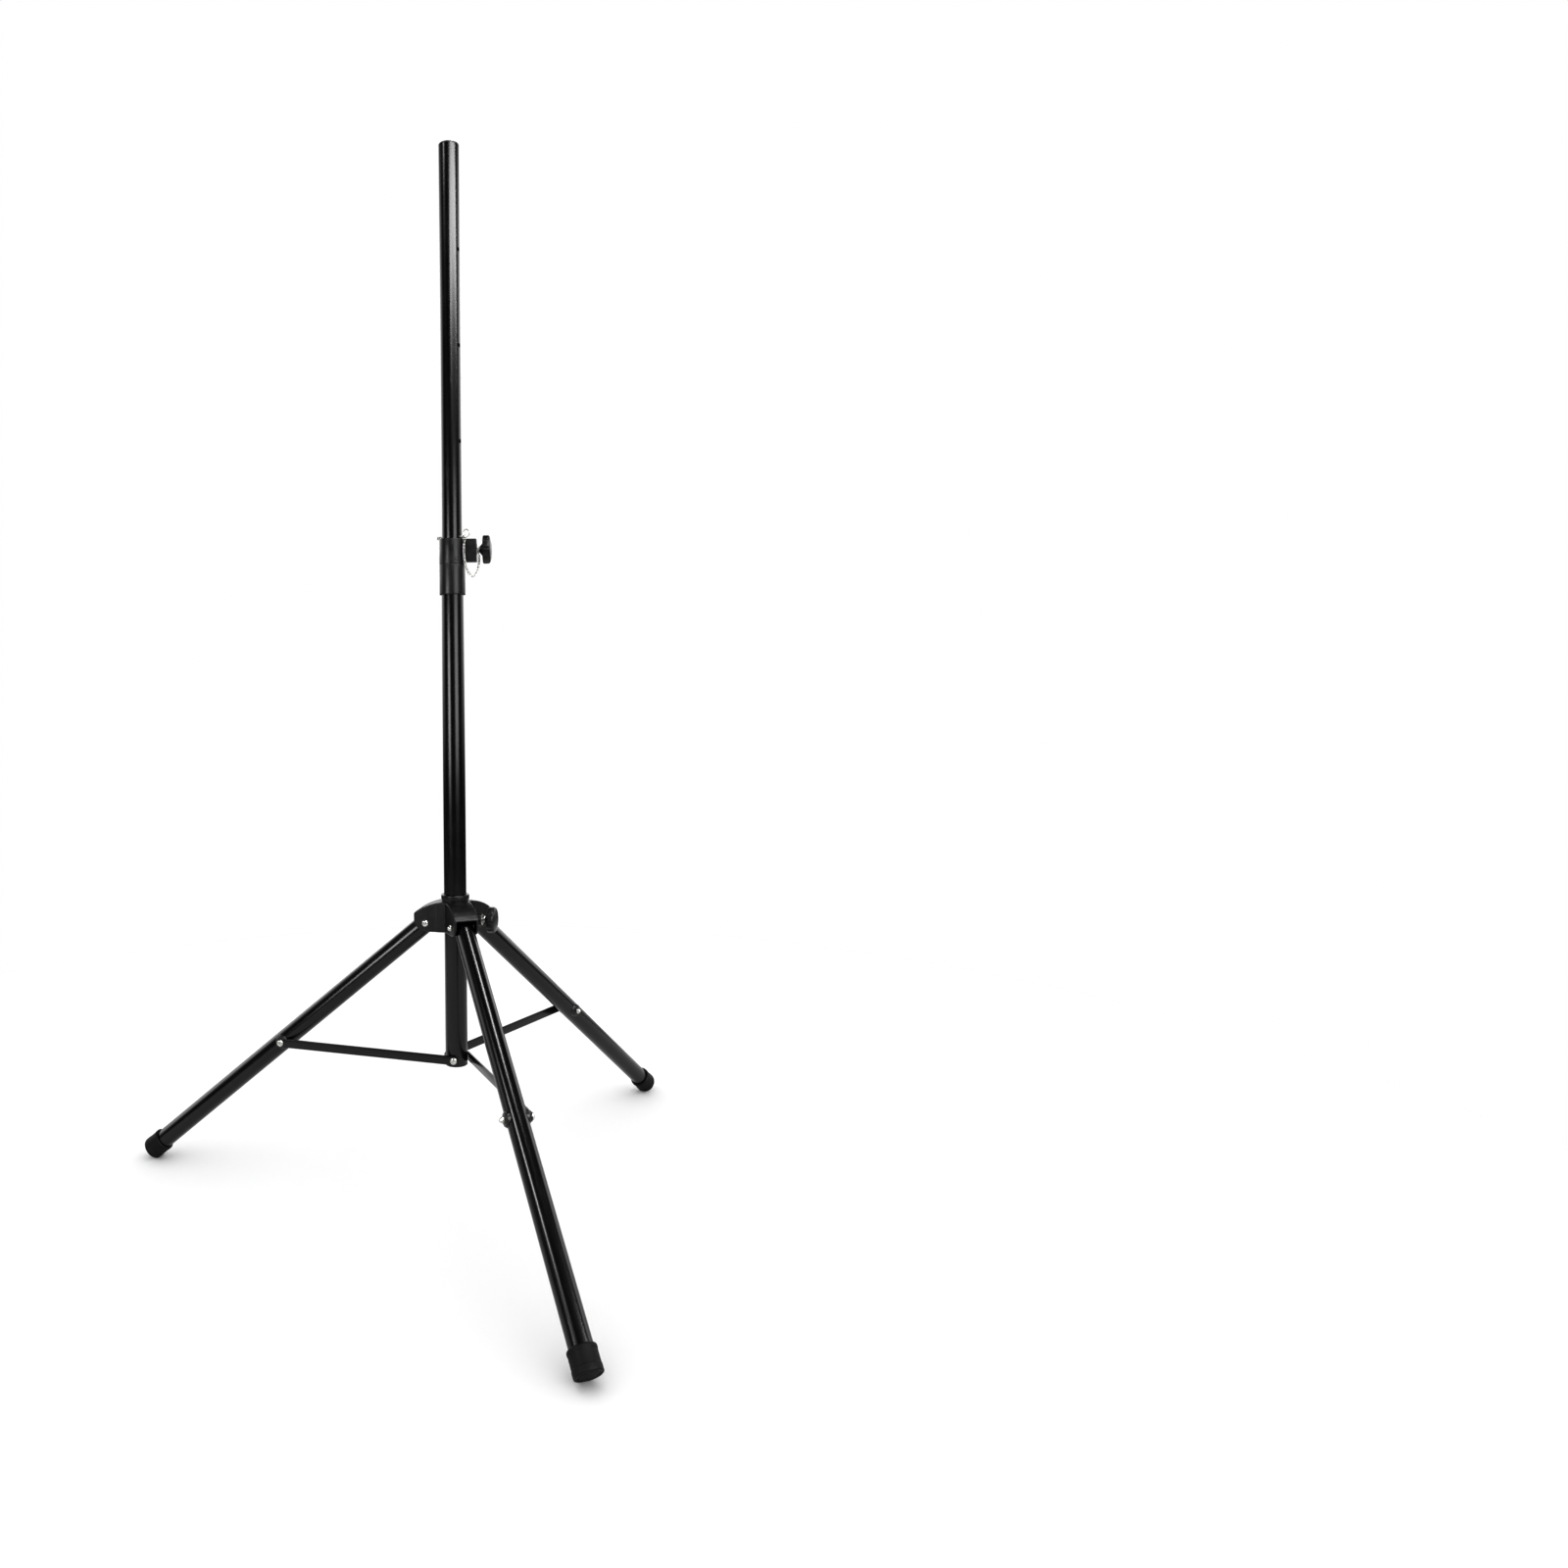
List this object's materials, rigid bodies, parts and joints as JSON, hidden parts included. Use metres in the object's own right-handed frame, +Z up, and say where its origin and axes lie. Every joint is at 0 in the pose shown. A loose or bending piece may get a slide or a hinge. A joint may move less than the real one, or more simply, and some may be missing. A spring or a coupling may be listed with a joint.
{
  "type": "speaker tripod stand",
  "caption": "Folding tripod stand for a loudspeaker: a round pole slides and pins in a tube, on splayed tubular legs with flat braces and a sliding hub.",
  "frame": {"origin": "on the floor, under the axis of the pole", "axes": "+Z up along the pole; the clamp knobs face +X and the first leg stands towards -X"},
  "size_m": [0.9752, 1.0019, 1.78],
  "materials": {
    "black_paint": "satin black powder paint on steel tube",
    "black_plastic": "fine-grained moulded nylon, near black",
    "nickel": "bright nickel plate",
    "black_rubber": "matte black rubber",
    "pad_nylon": "natural nylon"
  },
  "bodies": {
    "stand_tube": {"outer_tube": "black_paint", "tube_bottom_plug": "black_plastic", "brace_pivot_studs": "nickel", "pole_collar": "black_plastic", "collar_rivet": "black_paint", "pole_clamp_insert": "nickel", "chain_anchor_ring": "nickel"},
    "pole": {"inner_pole": "black_paint", "pole_top_cap": "black_plastic", "pole_bottom_plug": "black_plastic"},
    "pole_clamp_carrier": {"pole_clamp_pad": "pad_nylon"},
    "pole_clamp_knob": {"pole_clamp_screw": "nickel", "pole_clamp_knob": "black_plastic"},
    "safety_pin": {"safety_pin_set": "nickel"},
    "hub": {"hub_casting": "black_plastic", "hub_neck_bush": "black_plastic", "hub_pivot_bolts": "nickel", "hub_pivot_nuts": "nickel", "hub_clamp_insert": "nickel"},
    "hub_clamp_carrier": {"hub_clamp_pad": "pad_nylon"},
    "hub_clamp_knob": {"hub_clamp_screw": "nickel", "hub_clamp_knob": "black_plastic"},
    "leg_1": {"leg_tube_1": "black_paint", "leg_top_plug_1": "black_plastic", "foot_cap_1": "black_rubber", "brace_bolt_1": "nickel", "brace_nut_1": "nickel", "brace_saddles_1": "black_plastic"},
    "brace_1": {"brace_bar_1": "black_paint", "brace_screw_1": "nickel"},
    "leg_2": {"leg_tube_2": "black_paint", "leg_top_plug_2": "black_plastic", "foot_cap_2": "black_rubber", "brace_bolt_2": "nickel", "brace_nut_2": "nickel", "brace_saddles_2": "black_plastic"},
    "brace_2": {"brace_bar_2": "black_paint", "brace_screw_2": "nickel"},
    "leg_3": {"leg_tube_3": "black_paint", "leg_top_plug_3": "black_plastic", "foot_cap_3": "black_rubber", "brace_bolt_3": "nickel", "brace_nut_3": "nickel", "brace_saddles_3": "black_plastic"},
    "brace_3": {"brace_bar_3": "black_paint", "brace_screw_3": "nickel"}
  },
  "joints": [
    {"name": "pole_slide", "type": "slide", "parent": "stand_tube", "child": "pole", "axis": [0, 0, 1], "range_m": [-0.489, 0.163]},
    {"name": "pole_clamp_travel", "type": "slide", "parent": "stand_tube", "child": "pole_clamp_carrier", "axis": [0.9986, -0.0523, 0], "range_m": [0, 0.0032]},
    {"name": "pole_clamp_turn", "type": "hinge", "parent": "pole_clamp_carrier", "child": "pole_clamp_knob", "pos_m": [0.04993, -0.00262, 1.089], "axis": [0.9986, -0.0523, 0], "range_deg": [0, 900]},
    {"name": "pin_pull", "type": "slide", "parent": "stand_tube", "child": "safety_pin", "axis": [0.8746, -0.4848, 0], "range_m": [0, 0.06], "deforming": ["safety_pin_set"]},
    {"name": "hub_slide", "type": "slide", "parent": "stand_tube", "child": "hub", "axis": [0, 0, 1], "range_m": [0, 0.4238]},
    {"name": "hub_clamp_travel", "type": "slide", "parent": "hub", "child": "hub_clamp_carrier", "axis": [0.9781, -0.2079, 0], "range_m": [0, 0.0032]},
    {"name": "hub_clamp_turn", "type": "hinge", "parent": "hub_clamp_carrier", "child": "hub_clamp_knob", "pos_m": [0.04891, -0.0104, 0.456], "axis": [0.9781, -0.2079, 0], "range_deg": [0, 900]},
    {"name": "leg_fold_1", "type": "hinge", "parent": "hub", "child": "leg_1", "pos_m": [-0.04695, 0.00998, 0.451], "axis": [-0.2079, -0.9781, 0], "range_deg": [0, 50.32]},
    {"name": "brace_fold_1", "type": "hinge", "parent": "leg_1", "child": "brace_1", "pos_m": [-0.30735, 0.06533, 0.22999], "axis": [-0.2079, -0.9781, 0], "range_deg": [-129.35, 0]},
    {"name": "leg_fold_2", "type": "hinge", "parent": "hub", "child": "leg_2", "pos_m": [0.01483, -0.04565, 0.451], "axis": [0.9511, 0.309, 0], "range_deg": [0, 50.32]},
    {"name": "brace_fold_2", "type": "hinge", "parent": "leg_2", "child": "brace_2", "pos_m": [0.0971, -0.29883, 0.22999], "axis": [0.9511, 0.309, 0], "range_deg": [-129.35, 0]},
    {"name": "leg_fold_3", "type": "hinge", "parent": "hub", "child": "leg_3", "pos_m": [0.03212, 0.03567, 0.451], "axis": [-0.7431, 0.6691, 0], "range_deg": [0, 50.32]},
    {"name": "brace_fold_3", "type": "hinge", "parent": "leg_3", "child": "brace_3", "pos_m": [0.21025, 0.2335, 0.22999], "axis": [-0.7431, 0.6691, 0], "range_deg": [-129.35, 0]}
  ],
  "couplings": [
    {"joint": "pole_clamp_travel", "follows": "pole_clamp_turn", "m_per_rad": 0.00019894},
    {"joint": "hub_clamp_travel", "follows": "hub_clamp_turn", "m_per_rad": 0.00019894},
    {"joint": "leg_fold_1", "follows": "hub_slide", "rad_per_m": 2.0715},
    {"joint": "brace_fold_1", "follows": "hub_slide", "rad_per_m": -5.3264},
    {"joint": "leg_fold_2", "follows": "hub_slide", "rad_per_m": 2.0715},
    {"joint": "brace_fold_2", "follows": "hub_slide", "rad_per_m": -5.3264},
    {"joint": "leg_fold_3", "follows": "hub_slide", "rad_per_m": 2.0715},
    {"joint": "brace_fold_3", "follows": "hub_slide", "rad_per_m": -5.3264}
  ]
}
